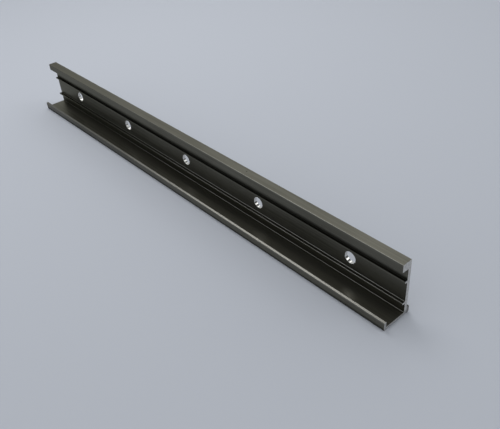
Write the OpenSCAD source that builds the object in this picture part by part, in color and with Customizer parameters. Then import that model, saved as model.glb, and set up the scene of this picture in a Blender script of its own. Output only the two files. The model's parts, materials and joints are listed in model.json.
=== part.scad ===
// Dark anodised aluminium extrusion, one sawn and drilled piece of stock.
// An upright web carries a head bar along its top, two small ribs on its front, a heel bead at its back,
// and a foot flange that runs forward to a turned-up lip. A row of plain holes goes through the web.
// X runs along the stock, +Y points to the back, +Z is up. The origin is the middle of the base.

/* [Stock] */
// Length between the sawn ends
stock_length = 300; // [100:10:600]
// Height from the floor to the top of the head
profile_height = 30; // [28:0.5:60]
// Depth from the outer face of the lip to the back of the web
profile_depth = 14.6; // [12:0.1:40]

/* [Web and head] */
// Thickness of the upright web
web_thickness = 1.6; // [1.2:0.1:3]
// Depth of the head bar from front to back
head_depth = 5.4; // [3.5:0.1:8]
// Height of the head bar's front face
head_height = 4; // [2:0.1:6]
// How much lower the head's underside is at the web than at the front
head_slope = 0.2; // [0:0.1:1.5]

/* [Flange and lip] */
// Thickness of the foot flange
flange_thickness = 1; // [0.8:0.05:2]
// How far the lip's toe and the heel stand out below the flange
foot_height = 0.6; // [0.3:0.1:1.6]
// Width of the toe, the foot that runs along under the lip
toe_width = 2.6; // [1.6:0.1:4]
// Height of the lip's inner top edge above the floor
lip_height = 4.7; // [3:0.1:8]
// How much lower the lip's top is at its outer edge
lip_slope = 0.45; // [0:0.05:0.8]
// Thickness of the lip
lip_thickness = 1.35; // [0.8:0.05:2]

/* [Heel] */
// How far the heel bead stands out behind the web
heel_reach = 1.6; // [0.8:0.1:3]
// Height of the heel bead above the floor
heel_height = 3.9; // [2.5:0.1:6]

/* [Ribs] */
// Thickness of both ribs at their tips
rib_thickness = 0.85; // [0.5:0.05:1.4]
// How much thicker a rib is at its root
rib_taper = 0.3; // [0.2:0.1:1.5]
// How far the upper rib stands out from the web
upper_rib_reach = 1.4; // [0.6:0.1:2.5]
// Distance from the top of the head down to the upper rib's level top
upper_rib_drop = 10.4; // [8:0.1:12]
// How far the lower rib stands out from the web
lower_rib_reach = 1.7; // [0.6:0.1:2.5]
// Height of the lower rib's level top above the floor
lower_rib_height = 7.8; // [6:0.1:9]

/* [Edges] */
// Radius of the edges of the head and of the feet
edge_radius = 0.3; // [0.1:0.05:0.6]
// Radius of the edges of the rib tips
rib_edge_radius = 0.15; // [0.05:0.05:0.4]
// Radius of the fillets in the section's inner corners
fillet_radius = 0.2; // [0.1:0.05:0.8]
// Radius of the lip's rounded bottom edge
toe_radius = 0.6; // [0.4:0.1:2]
// Radius of the lip's outer top edge
lip_outer_radius = 0.4; // [0.1:0.05:0.8]
// Radius of the lip's inner top edge
lip_inner_radius = 0.25; // [0.1:0.05:0.6]
// Radius of the heel's two rounded back edges
heel_radius = 0.8; // [0.2:0.1:1.5]

/* [Holes] */
// Diameter of the holes through the web
hole_diameter = 6; // [3:0.1:8]
// Distance between neighbouring holes
hole_pitch = 60; // [20:1:100]
// Distance from the top of the head down to the hole centres
hole_drop = 16.2; // [15:0.1:18]
// Width of the broken edge at the front of each hole
hole_edge_break = 0.1; // [0.05:0.05:0.5]

/* [Hidden] */
$fn = 96;

bronze = [0.24, 0.235, 0.21];

// Places along the depth, counted from the outer face of the lip
web_back = profile_depth;
web_front = web_back - web_thickness;
head_front = web_back - head_depth;
heel_back = web_back + heel_reach;

// Height of the flange's top face, which is the floor of the channel
flange_top = foot_height + flange_thickness;

// As many holes as the stock has room for, with half a pitch or more beyond the last one at each end
hole_count = floor(stock_length / hole_pitch);
hole_height = profile_height - hole_drop;
drill_margin = 1;

// Longest part of a straight edge that the roundings at its two ends may use together
rounding_share = 0.96;

// Corners of the section as [depth, height, radius], listed in order around it from the lip's bottom edge
function rib(top, reach) = [
    [web_front, top, fillet_radius],
    [web_front - reach, top, rib_edge_radius],
    [web_front - reach, top - rib_thickness, rib_edge_radius],
    [web_front, top - rib_thickness - rib_taper, fillet_radius]
];

toe = [
    [0, 0, toe_radius],
    [toe_width, 0, edge_radius],
    [toe_width, foot_height, fillet_radius]
];

heel = [
    [web_back, foot_height, fillet_radius],
    [web_back, 0, edge_radius],
    [heel_back, 0, heel_radius],
    [heel_back, heel_height, heel_radius],
    [web_back, heel_height, fillet_radius]
];

head = [
    [web_back, profile_height, edge_radius],
    [head_front, profile_height, edge_radius],
    [head_front, profile_height - head_height, edge_radius],
    [web_front, profile_height - head_height - head_slope, fillet_radius]
];

channel = [
    [web_front, flange_top, fillet_radius],
    [lip_thickness, flange_top, fillet_radius]
];

lip = [
    [lip_thickness, lip_height, lip_inner_radius],
    [0, lip_height - lip_slope, lip_outer_radius]
];

corners = concat(
    toe,
    heel,
    head,
    rib(profile_height - upper_rib_drop, upper_rib_reach),
    rib(lower_rib_height, lower_rib_reach),
    channel,
    lip
);
corner_count = len(corners);

// The rounding of one corner: an arc that touches both of the corner's edges
function corner(i) = corners[(i + corner_count) % corner_count];
function point(i) = [corner(i)[0], corner(i)[1]];
function unit(v) = v / norm(v);
function to_last(i) = unit(point(i - 1) - point(i));
function to_next(i) = unit(point(i + 1) - point(i));
function half_angle(i) = acos(to_last(i) * to_next(i)) / 2;
function full_setback(i) = corner(i)[2] / tan(half_angle(i));

// Where two roundings want more of the edge between them than there is, both give way in proportion
function edge_room(i) =
    rounding_share * norm(point(i + 1) - point(i)) / (full_setback(i) + full_setback(i + 1));
function setback(i) = full_setback(i) * min(1, edge_room(i - 1), edge_room(i));
function arc_radius(i) = setback(i) * tan(half_angle(i));
function arc_centre(i) = point(i) + unit(to_last(i) + to_next(i)) * arc_radius(i) / sin(half_angle(i));
function arc_ends(i) = [point(i) + to_last(i) * setback(i), point(i) + to_next(i) * setback(i)];

function is_outer(i) = cross(to_last(i), to_next(i)) < 0;
outer_corners = [for (i = [0 : corner_count - 1]) if (is_outer(i)) i];
inner_corners = [for (i = [0 : corner_count - 1]) if (!is_outer(i)) i];

// The outline with every corner cut straight across
chamfered_outline = [for (i = [0 : corner_count - 1]) each arc_ends(i)];

// The sliver between a corner's straight cut and its arc
module arc_sliver(i) {
    intersection() {
        translate(arc_centre(i)) circle(r = arc_radius(i));
        polygon(concat([point(i)], arc_ends(i)));
    }
}

module section() {
    difference() {
        union() {
            polygon(chamfered_outline);
            for (i = outer_corners) arc_sliver(i);
        }
        for (i = inner_corners) arc_sliver(i);
    }
}

module drill() {
    rotate([-90, 0, 0]) {
        translate([0, 0, -drill_margin])
            cylinder(d = hole_diameter, h = web_thickness + 2 * drill_margin);
        cylinder(d1 = hole_diameter + 2 * hole_edge_break, d2 = hole_diameter, h = hole_edge_break);
    }
}

module profile() {
    color(bronze)
    translate([0, -heel_back / 2, 0])
    difference() {
        rotate([90, 0, 90]) linear_extrude(height = stock_length, center = true) section();
        for (i = [0 : hole_count - 1])
            translate([(i - (hole_count - 1) / 2) * hole_pitch, web_front, hole_height]) drill();
    }
}

profile();
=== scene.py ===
"""Looks of a dark anodised aluminium extrusion: finishes, a pale floor, soft light and the photo's camera.

Everything is in metres in the part's frame: X runs along the stock, +Y points to the back and +Z is up.
"""
import json
import math

import bpy
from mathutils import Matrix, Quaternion, Vector


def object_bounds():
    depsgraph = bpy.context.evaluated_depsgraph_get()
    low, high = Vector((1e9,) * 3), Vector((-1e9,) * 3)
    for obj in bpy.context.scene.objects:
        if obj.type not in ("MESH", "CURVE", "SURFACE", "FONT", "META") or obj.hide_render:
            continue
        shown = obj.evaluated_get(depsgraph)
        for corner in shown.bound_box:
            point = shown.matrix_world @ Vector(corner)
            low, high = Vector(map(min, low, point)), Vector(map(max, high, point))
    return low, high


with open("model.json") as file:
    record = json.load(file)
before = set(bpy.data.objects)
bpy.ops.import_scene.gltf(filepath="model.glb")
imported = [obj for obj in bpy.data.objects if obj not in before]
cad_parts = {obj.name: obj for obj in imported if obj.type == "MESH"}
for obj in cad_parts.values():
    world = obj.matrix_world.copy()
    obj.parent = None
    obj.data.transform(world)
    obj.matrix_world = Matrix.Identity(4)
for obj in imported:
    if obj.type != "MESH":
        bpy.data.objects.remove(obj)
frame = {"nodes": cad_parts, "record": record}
cad_low, cad_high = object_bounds()
profile = frame["nodes"]["profile"]

MM = 0.001

# The part's own sizes and places, from the frame
HALF_LENGTH = cad_high.x
LIP_FRONT = cad_low.y
HEAD_TOP = cad_high.z
MOUNTS = {mount["name"]: mount for mount in frame["record"]["mounts"]}
HOLES = [mount for mount in MOUNTS.values() if mount["kind"] == "bore"]
WEB_BACK = MOUNTS["web_back"]["pos_m"][1]
WEB_MIDDLE = HOLES[0]["pos_m"][1]

# Camera, as it stood for the photograph
CAMERA_TARGET = Vector((63.62, -3.75, 13.0)) * MM
CAMERA_DISTANCE = 303.7 * MM
CAMERA_AZIMUTH = math.radians(51.40)
CAMERA_ELEVATION = math.radians(36.51)
CAMERA_ROLL = math.radians(-4.80)
CAMERA_LENS = 44.91
CAMERA_NEAR_LIMIT = 10 * MM

# Floor
FLOOR_RADIUS = 4.0
FLOOR_SIDES = 64
FLOOR_COLOUR = (0.585, 0.61, 0.67, 1)
FLOOR_ROUGHNESS = 0.7
FLOOR_GLOSS = 0.2

# Room, which is brighter behind the part than in front of it
ROOM_COLOUR = (0.95, 0.98, 1.0, 1)
ROOM_FRONT_STRENGTH = 0.45
ROOM_BACK_STRENGTH = 0.68

# Dark corners of the room, which the bare metal mirrors. Each is a cone, at its darkest inside its core.
DARK_CORNERS = (
    {"corner": (0.13, 0.58, 0.80), "half_width": math.radians(16)},
    {"corner": (0.81, 0.58, 0.06), "half_width": math.radians(22)},
)
DARK_CORNER_CORE = 0.7
DARK_CORNER_STRENGTH = 0.12

# Softboxes, placed by direction and distance from the part. A brightness of 1 is that of a white surface.
SOFTBOXES = {
    "key_softbox": {
        "direction": (-0.44, 0.11, 0.89), "distance": 0.62, "width": 0.35, "height": 0.34, "brightness": 2.9
    },
    "back_softbox": {
        "direction": (-0.29, 0.58, 0.76), "distance": 1.1, "width": 0.3, "height": 0.3, "brightness": 1.1
    },
    "right_softbox": {
        "direction": (0.555, 0.583, 0.60), "distance": 3.0, "width": 0.82, "height": 0.82, "brightness": 1.7
    },
}

# Width of the fade where one finish gives way to another
SHARP_FADE = 0.1 * MM
SOFT_FADE = 0.2 * MM

# Range that holds most values of a noise, and of the sum of two
NOISE_RANGE = (0.3, 0.7)
NOISE_SUM_RANGE = (0.75, 1.25)

# Anodised skin. The waves of a noise are counted per metre along X, Y and Z.
# A glance is the colour of what the metal mirrors at a grazing angle. A bump is its strength and its depth.
ANODISED_DARK = (0.1175, 0.114, 0.0925, 1)
ANODISED_LIGHT = (0.162, 0.157, 0.1305, 1)
ANODISED_GLANCE = (0.53, 0.53, 0.50, 1)
ANODISED_METALLIC = 0.92
ANODISED_ROUGHNESS = (0.32, 0.40)
DIE_LINE_WAVES = (5, 1300, 1300)
DIE_LINE_BUMP = (0.05, 0.05 * MM)
DRIFT_WAVES = (14, 60, 60)

# Painted highlight on the lip: paler colour on its top, and on its front towards the far end
LIP_HIGHLIGHT_DARK = (0.141, 0.138, 0.123, 1)
LIP_HIGHLIGHT_LIGHT = (0.195, 0.190, 0.172, 1)
LIP_HIGHLIGHT_START = -0.4 * HALF_LENGTH
LIP_HIGHLIGHT_FADE = 0.8 * HALF_LENGTH
LIP_BACK = LIP_FRONT + 1.4 * MM
LIP_TOP_START = 3.7 * MM
LIP_TOP_FADE = 0.4 * MM

# One dark speck on top of the head
SPECK_PLACE = Vector((54 * MM, WEB_BACK - 2.4 * MM, HEAD_TOP))
SPECK_RADIUS = 0.45 * MM
SPECK_COLOUR = (0.02, 0.02, 0.017, 1)

# Painted shade: darker colour in the section's crevices, where the part itself hides most of a point's
# surroundings
PAINTED_SHADE_COLOUR = (0.029, 0.030, 0.025, 1)
PAINTED_SHADE_GLANCE = (0.04, 0.04, 0.04, 1)
CREVICE_REACH = 8 * MM
CREVICE_SAMPLES = 8
OPEN_SHARES = (0.04, 0.57)
# Painted shade also low on the lip's toe, in the recess under the head and under the lower rib
TOE_SHADE_HEIGHT = 0.5 * MM
TOE_SHADE_FADE = 1.1 * MM
RECESS_FRONT = WEB_BACK - 2.8 * MM
RECESS_BOTTOM = HEAD_TOP - 10.7 * MM
RECESS_FADE = 2.5 * MM
UPPER_RIB_FACE = HEAD_TOP - 11.0 * MM
UNDER_RIB_FRONT = WEB_BACK - 1.8 * MM
UNDER_RIB_TOP = 6.6 * MM
UNDER_RIB_OPENNESS = 0.65

# Painted highlight on the roundings, brighter towards the near end. A turn is how far a face leans forward
# and up.
EDGE_HIGHLIGHT_DARK = (0.36, 0.35, 0.32, 1)
EDGE_HIGHLIGHT_LIGHT = (0.52, 0.51, 0.48, 1)
EDGE_ROUGHNESS = (0.26, 0.34)
EDGE_MOTTLE_WAVES = (30, 400, 400)
EDGE_LEAST_HIGHLIGHT = 0.1
EDGE_HIGHLIGHT_START = -0.6 * HALF_LENGTH
EDGE_HIGHLIGHT_END = 0.2 * HALF_LENGTH
WEB_EDGE_TURN = 0.25
WEB_EDGE_TOP = 9.0 * MM
HEAD_EDGE_TURN = 0.50
HEAD_EDGE_BOTTOM = HEAD_TOP - 1.0 * MM

# Painted shade: darker, rougher skin on the level tops of the ribs and of the heel
LEDGE_SHADE_DARK = (0.060, 0.060, 0.051, 1)
LEDGE_SHADE_LIGHT = (0.085, 0.085, 0.074, 1)
LEDGE_ROUGHNESS = (0.40, 0.50)
LEDGE_MOTTLE_WAVES = (40, 900, 900)
LEDGE_BOTTOM = 3.0 * MM
LEDGE_TOP = HEAD_TOP - 5.0 * MM
RIB_FRONT = WEB_BACK - 3.7 * MM

# Bare metal of the sawn ends. The saw marks are rings round the saw's axle.
SAWN_DARK = (0.46, 0.45, 0.43, 1)
SAWN_LIGHT = (0.69, 0.68, 0.65, 1)
SAWN_ROUGHNESS = (0.28, 0.45)
SAW_AXLE = Vector((0, -70, 110)) * MM
SAW_MARK_SCALE = 700
SAW_MARK_BUMP = (0.25, 0.03 * MM)
SAW_SMEAR_WAVES = (900, 900, 900)
HEEL_END_TONE = (0.20, 0.195, 0.185, 1)

# Bare metal of the drilled holes
DRILLED_DARK = (0.60, 0.59, 0.56, 1)
DRILLED_LIGHT = (0.78, 0.77, 0.74, 1)
DRILLED_ROUGHNESS = (0.10, 0.20)
FEED_RING_SCALE = 1300
FEED_RING_BUMP = (0.1, 0.01 * MM)
DRILL_SMEAR_WAVES = (700, 700, 700)

# What tells the faces apart: how nearly a face points along an axis, how many radii from a hole's axis its
# wall and broken edge reach, and how near to the end of the stock a sawn face lies
FACING = 0.9
HOLE_REACH = 1.15
END_TOLERANCE = 0.01 * MM

# Numbers of the Mix node's colour sockets, whose names repeat
MIX_FACTOR = 0
MIX_FIRST = 6
MIX_SECOND = 7
MIX_RESULT = 2


def feed(tree, socket, value):
    """Links an input socket to the socket that is given as its value, or sets it to a plain value."""
    if isinstance(value, bpy.types.NodeSocket):
        tree.links.new(value, socket)
    else:
        socket.default_value = value


def add_node(owner, kind, inputs=None, **settings):
    """A node of the owner, which is a material or the world."""
    tree = owner.node_tree
    node = tree.nodes.new(kind)
    for name, value in settings.items():
        setattr(node, name, value)
    for name, value in (inputs or {}).items():
        feed(tree, node.inputs[name], value)
    return node


def new_material(name):
    material = bpy.data.materials.new(name)
    material.use_nodes = True
    return material


def set_shader(material, **inputs):
    """Sets or links inputs of the material's main shader. Underscores in the names stand for spaces."""
    tree = material.node_tree
    shader = tree.nodes["Principled BSDF"]
    for name, value in inputs.items():
        feed(tree, shader.inputs[name.replace("_", " ")], value)


def calculate(owner, operation, first, second):
    """A number from two numbers, such as their sum."""
    inputs = {0: first, 1: second}
    return add_node(owner, "ShaderNodeMath", inputs, operation=operation).outputs["Value"]


def product(owner, first, *others):
    for other in others:
        first = calculate(owner, "MULTIPLY", first, other)
    return first


def greatest(owner, first, *others):
    for other in others:
        first = calculate(owner, "MAXIMUM", first, other)
    return first


def measure(owner, operation, first, second):
    """A number from two vectors, such as their distance."""
    inputs = {0: first, 1: second}
    return add_node(owner, "ShaderNodeVectorMath", inputs, operation=operation).outputs["Value"]


def span(owner, factor, low, high, start=NOISE_RANGE[0], end=NOISE_RANGE[1]):
    """A number that goes from low to high as the factor goes from start to end."""
    return add_node(
        owner,
        "ShaderNodeMapRange",
        {"Value": factor, "From Min": start, "From Max": end, "To Min": low, "To Max": high},
    ).outputs["Result"]


def ramp(material, factor, low, high, start=NOISE_RANGE[0], end=NOISE_RANGE[1]):
    """A colour that goes from low to high as the factor goes from start to end."""
    node = add_node(material, "ShaderNodeValToRGB", {"Fac": factor})
    first, last = node.color_ramp.elements
    first.position = start
    first.color = low
    last.position = end
    last.color = high
    return node.outputs["Color"]


def mix(material, factor, first, second):
    """The first colour where the factor is 0, the second where it is 1."""
    inputs = {MIX_FACTOR: factor, MIX_FIRST: first, MIX_SECOND: second}
    return add_node(material, "ShaderNodeMix", inputs, data_type="RGBA").outputs[MIX_RESULT]


def part_place(material, scale=(1, 1, 1), shift=(0, 0, 0)):
    """Places in the part's own frame, stretched and then shifted."""
    place = add_node(material, "ShaderNodeTexCoord").outputs["Object"]
    inputs = {"Vector": place, "Scale": scale, "Location": shift}
    return add_node(material, "ShaderNodeMapping", inputs).outputs["Vector"]


def noise(material, waves, detail=2.0, roughness=0.5):
    """Noise fixed to the part, with that many waves per metre along each axis."""
    inputs = {"Vector": part_place(material, waves), "Scale": 1.0, "Detail": detail, "Roughness": roughness}
    return add_node(material, "ShaderNodeTexNoise", inputs).outputs["Fac"]


def bump(material, height, strength, depth):
    inputs = {"Height": height, "Strength": strength, "Distance": depth}
    return add_node(material, "ShaderNodeBump", inputs).outputs["Normal"]


def along(material, axis):
    """Where a point of the part lies along one axis."""
    return add_node(material, "ShaderNodeSeparateXYZ", {"Vector": part_place(material)}).outputs[axis]


def past(material, axis, edge, fade):
    """0 up to an edge along one axis, rising to 1 over the fade beyond it."""
    return span(material, along(material, axis), 0.0, 1.0, edge, edge + fade)


def short_of(material, axis, edge, fade):
    """1 up to an edge along one axis, falling to 0 over the fade beyond it."""
    return span(material, along(material, axis), 1.0, 0.0, edge, edge + fade)


def clear_of_floor(material):
    """Painted shade at the floor: 0 at the bottom of the lip's toe, 1 higher up and behind the lip."""
    up_the_toe = past(material, "Z", TOE_SHADE_HEIGHT, TOE_SHADE_FADE)
    behind_the_lip = past(material, "Y", LIP_BACK, SHARP_FADE)
    return greatest(material, up_the_toe, behind_the_lip)


def clear_of_head(material):
    """Painted shade under the head: 0 on the front of the web just above the upper rib, rising to 1 up the
    recess, and 1 elsewhere.
    """
    up_the_recess = past(material, "Z", RECESS_BOTTOM, RECESS_FADE)
    below_the_rib = short_of(material, "Z", UPPER_RIB_FACE, SOFT_FADE)
    before_the_recess = short_of(material, "Y", RECESS_FRONT, SOFT_FADE)
    at_the_back = past(material, "Y", WEB_MIDDLE, SOFT_FADE)
    return greatest(material, up_the_recess, below_the_rib, before_the_recess, at_the_back)


def clear_of_rib(material):
    """Painted shade: lower on the front of the web under the lower rib, and 1 elsewhere."""
    above = past(material, "Z", UNDER_RIB_TOP, SOFT_FADE)
    before_the_web = short_of(material, "Y", UNDER_RIB_FRONT, SHARP_FADE)
    at_the_back = past(material, "Y", WEB_MIDDLE, SOFT_FADE)
    return greatest(material, above, before_the_web, at_the_back, UNDER_RIB_OPENNESS)


def clear_of_painted_shade(material):
    """Where the painted shade goes: 0 deep in the section's crevices, 1 on its open faces."""
    open_share = add_node(
        material,
        "ShaderNodeAmbientOcclusion",
        {"Distance": CREVICE_REACH},
        samples=CREVICE_SAMPLES,
        only_local=True,
    ).outputs["AO"]
    openness = span(material, open_share, 0.0, 1.0, *OPEN_SHARES)
    clear = (clear_of_floor(material), clear_of_head(material), clear_of_rib(material))
    return product(material, openness, *clear)


def painted_lip_highlight(material):
    """Where the painted highlight goes: 1 on the lip's top and towards the far end of its front, and 0
    elsewhere.
    """
    on_the_lip = short_of(material, "Y", LIP_BACK, SHARP_FADE)
    on_its_top = past(material, "Z", LIP_TOP_START, LIP_TOP_FADE)
    far_along = short_of(material, "X", LIP_HIGHLIGHT_START, LIP_HIGHLIGHT_FADE)
    return product(material, on_the_lip, greatest(material, on_its_top, far_along))


def dark_speck(material):
    """1 on the speck on top of the head, 0 elsewhere."""
    distance = measure(material, "DISTANCE", part_place(material), SPECK_PLACE)
    return span(material, distance, 1.0, 0.0, SPECK_RADIUS / 2, SPECK_RADIUS)


def on_the_heel(material):
    """1 on the heel, which stands out behind the web, and 0 on the rest of the section."""
    return past(material, "Y", WEB_BACK - SHARP_FADE, 2 * SHARP_FADE)


def anodised_metal():
    """Satin anodised skin with fine die lines along the stock and a slow drift of tone, plus painted
    highlight and painted shade.
    """
    material = new_material("anodised_bronze")
    die_lines = noise(material, DIE_LINE_WAVES, detail=4.0, roughness=0.65)
    tone = calculate(material, "ADD", die_lines, noise(material, DRIFT_WAVES))
    main_skin = ramp(material, tone, ANODISED_DARK, ANODISED_LIGHT, *NOISE_SUM_RANGE)
    # Painted highlight: a paler colour on the lip's top and on its front towards the far end
    lip_highlight_skin = ramp(material, tone, LIP_HIGHLIGHT_DARK, LIP_HIGHLIGHT_LIGHT, *NOISE_SUM_RANGE)
    skin = mix(material, painted_lip_highlight(material), main_skin, lip_highlight_skin)
    skin = mix(material, dark_speck(material), skin, SPECK_COLOUR)
    # Painted shade in the crevices, low on the toe, under the head and under the lower rib
    openness = clear_of_painted_shade(material)
    set_shader(
        material,
        Metallic=ANODISED_METALLIC,
        Base_Color=mix(material, openness, PAINTED_SHADE_COLOUR, skin),
        Specular_Tint=mix(material, openness, PAINTED_SHADE_GLANCE, ANODISED_GLANCE),
        Roughness=span(material, die_lines, *ANODISED_ROUGHNESS),
        Normal=bump(material, die_lines, *DIE_LINE_BUMP),
    )
    return material


def edge_highlight_metal():
    """The same skin on the narrow roundings, with a painted highlight that grows brighter towards the near
    end.
    """
    material = new_material("anodised_edges")
    edge_mottle = noise(material, EDGE_MOTTLE_WAVES)
    highlight_share = span(material, along(material, "X"), EDGE_LEAST_HIGHLIGHT, 1.0, EDGE_HIGHLIGHT_START, EDGE_HIGHLIGHT_END)
    painted_edge_highlight = ramp(material, edge_mottle, EDGE_HIGHLIGHT_DARK, EDGE_HIGHLIGHT_LIGHT)
    set_shader(
        material,
        Metallic=1.0,
        Base_Color=mix(material, highlight_share, ANODISED_DARK, painted_edge_highlight),
        Specular_Tint=ANODISED_GLANCE,
        Roughness=span(material, edge_mottle, *EDGE_ROUGHNESS),
    )
    return material


def shaded_ledge_metal():
    """The same skin on the tops of the ribs and the heel, darkened as painted shade and made rougher."""
    material = new_material("anodised_ledges")
    ledge_mottle = noise(material, LEDGE_MOTTLE_WAVES)
    set_shader(
        material,
        Metallic=1.0,
        Base_Color=ramp(material, ledge_mottle, LEDGE_SHADE_DARK, LEDGE_SHADE_LIGHT),
        Specular_Tint=PAINTED_SHADE_GLANCE,
        Roughness=span(material, ledge_mottle, *LEDGE_ROUGHNESS),
    )
    return material


def sawn_metal():
    """Bare metal with the curved marks of a saw blade, and a darker tone on the heel's end."""
    material = new_material("sawn_aluminium")
    saw_marks = add_node(
        material,
        "ShaderNodeTexWave",
        {
            "Vector": part_place(material, shift=-SAW_AXLE),
            "Scale": SAW_MARK_SCALE,
            "Distortion": 1.2,
            "Detail": 2.0,
            "Detail Scale": 0.6,
        },
        wave_type="RINGS",
        rings_direction="X",
    ).outputs["Fac"]
    smears = noise(material, SAW_SMEAR_WAVES, detail=3.0)
    bare_skin = ramp(material, smears, SAWN_DARK, SAWN_LIGHT)
    set_shader(
        material,
        Metallic=1.0,
        Base_Color=mix(material, on_the_heel(material), bare_skin, HEEL_END_TONE),
        Roughness=span(material, smears, *SAWN_ROUGHNESS),
        Normal=bump(material, saw_marks, *SAW_MARK_BUMP),
    )
    return material


def drilled_metal():
    """Bright bare metal with the fine rings that a drill leaves round a hole."""
    material = new_material("drilled_aluminium")
    feed_rings = add_node(
        material,
        "ShaderNodeTexWave",
        {"Vector": part_place(material), "Scale": FEED_RING_SCALE, "Distortion": 0.6},
        wave_type="BANDS",
        bands_direction="Y",
    ).outputs["Fac"]
    smears = noise(material, DRILL_SMEAR_WAVES)
    set_shader(
        material,
        Metallic=1.0,
        Base_Color=ramp(material, smears, DRILLED_DARK, DRILLED_LIGHT),
        Roughness=span(material, smears, *DRILLED_ROUGHNESS),
        Normal=bump(material, feed_rings, *FEED_RING_BUMP),
    )
    return material


def on_a_sawn_end(face):
    return abs(face.normal.x) > FACING and abs(face.center.x) > HALF_LENGTH - END_TOLERANCE


def in_a_hole(face):
    """True for a face on the wall or the broken edge of a hole."""
    if abs(face.normal.y) > FACING:
        return False
    for hole in HOLES:
        x, y, z = hole["pos_m"]
        reach = hole["dims"]["r_mm"] * MM * HOLE_REACH
        deep = hole["dims"]["length_mm"] * MM
        near = math.hypot(face.center.x - x, face.center.z - z) < reach
        if near and abs(face.center.y - y) < deep:
            return True
    return False


# The painted highlight of the roundings goes on these faces
def on_a_highlit_edge(face):
    """True for the upward roundings along the head's front, the lower rib and the foot of the web."""
    turn = min(-face.normal.y, face.normal.z)
    if face.center.y > RIB_FRONT and face.center.z < WEB_EDGE_TOP:
        return turn > WEB_EDGE_TURN
    return face.center.z > HEAD_EDGE_BOTTOM and turn > HEAD_EDGE_TURN


# The painted shade of the ledges goes on these faces
def on_a_ledge(face):
    """True for the level tops of the ribs and of the heel."""
    at_its_height = LEDGE_BOTTOM < face.center.z < LEDGE_TOP
    return at_its_height and face.center.y > RIB_FRONT and face.normal.z > FACING


def dress_profile():
    """Gives each face the first finish that claims it, and the anodised skin where none does."""
    finishes = (
        (sawn_metal, on_a_sawn_end),
        (drilled_metal, in_a_hole),
        (edge_highlight_metal, on_a_highlit_edge),
        (shaded_ledge_metal, on_a_ledge),
    )
    mesh = profile.data
    mesh.materials.clear()
    mesh.materials.append(anodised_metal())
    for face in mesh.polygons:
        face.material_index = 0
    for index, (make_finish, claims) in enumerate(finishes, start=1):
        mesh.materials.append(make_finish())
        for face in mesh.polygons:
            if face.material_index == 0 and claims(face):
                face.material_index = index


def add_floor():
    bpy.ops.mesh.primitive_circle_add(vertices=FLOOR_SIDES, radius=FLOOR_RADIUS, fill_type="NGON")
    floor = bpy.context.object
    floor.name = "floor"
    material = new_material("pale_floor")
    set_shader(material, Base_Color=FLOOR_COLOUR, Roughness=FLOOR_ROUGHNESS, Specular_IOR_Level=FLOOR_GLOSS)
    floor.data.materials.append(material)


def corner_shade(world, direction, corner, half_width):
    """1 over most of the room, fading to the strength of a dark corner in its core."""
    nearness = measure(world, "DOT_PRODUCT", direction, Vector(corner).normalized())
    rim = math.cos(half_width)
    core = math.cos(half_width * DARK_CORNER_CORE)
    return span(world, nearness, 1.0, DARK_CORNER_STRENGTH, rim, core)


def light_room():
    """Soft light from all round. The metal mirrors the dark corners, but the camera doesn't see them."""
    world = bpy.data.worlds.new("room")
    bpy.context.scene.world = world
    world.use_nodes = True
    direction = add_node(world, "ShaderNodeTexCoord").outputs["Generated"]
    depth = add_node(world, "ShaderNodeSeparateXYZ", {"Vector": direction}).outputs["Y"]
    strength = span(world, depth, ROOM_FRONT_STRENGTH, ROOM_BACK_STRENGTH, start=-1.0, end=1.0)
    seen_directly = add_node(world, "ShaderNodeLightPath").outputs["Is Camera Ray"]
    for facts in DARK_CORNERS:
        shade = corner_shade(world, direction, **facts)
        strength = product(world, strength, greatest(world, shade, seen_directly))
    background = world.node_tree.nodes["Background"]
    feed(world.node_tree, background.inputs["Color"], ROOM_COLOUR)
    feed(world.node_tree, background.inputs["Strength"], strength)


def add_softbox(name, direction, distance, width, height, brightness):
    """A rectangular lamp that faces the part's origin."""
    light = bpy.data.lights.new(name, "AREA")
    light.shape = "RECTANGLE"
    light.size = width
    light.size_y = height
    light.energy = brightness * math.pi * width * height
    lamp = bpy.data.objects.new(name, light)
    bpy.context.scene.collection.objects.link(lamp)
    away = Vector(direction).normalized()
    lamp.location = away * distance
    lamp.rotation_mode = "QUATERNION"
    lamp.rotation_quaternion = away.to_track_quat("Z", "Y")


def add_camera():
    camera = bpy.data.objects.new("camera", bpy.data.cameras.new("camera"))
    bpy.context.scene.collection.objects.link(camera)
    camera.data.lens = CAMERA_LENS
    camera.data.clip_start = CAMERA_NEAR_LIMIT
    level = math.cos(CAMERA_ELEVATION)
    back = Vector(
        (math.sin(CAMERA_AZIMUTH) * level, -math.cos(CAMERA_AZIMUTH) * level, math.sin(CAMERA_ELEVATION))
    )
    camera.location = CAMERA_TARGET + back * CAMERA_DISTANCE
    camera.rotation_mode = "QUATERNION"
    camera.rotation_quaternion = (-back).to_track_quat("-Z", "Y") @ Quaternion((0, 0, 1), CAMERA_ROLL)
    bpy.context.scene.camera = camera


bpy.context.scene.view_settings.view_transform = "Standard"
add_camera()
add_floor()
light_room()
for softbox_name, softbox_facts in SOFTBOXES.items():
    add_softbox(softbox_name, **softbox_facts)
dress_profile()
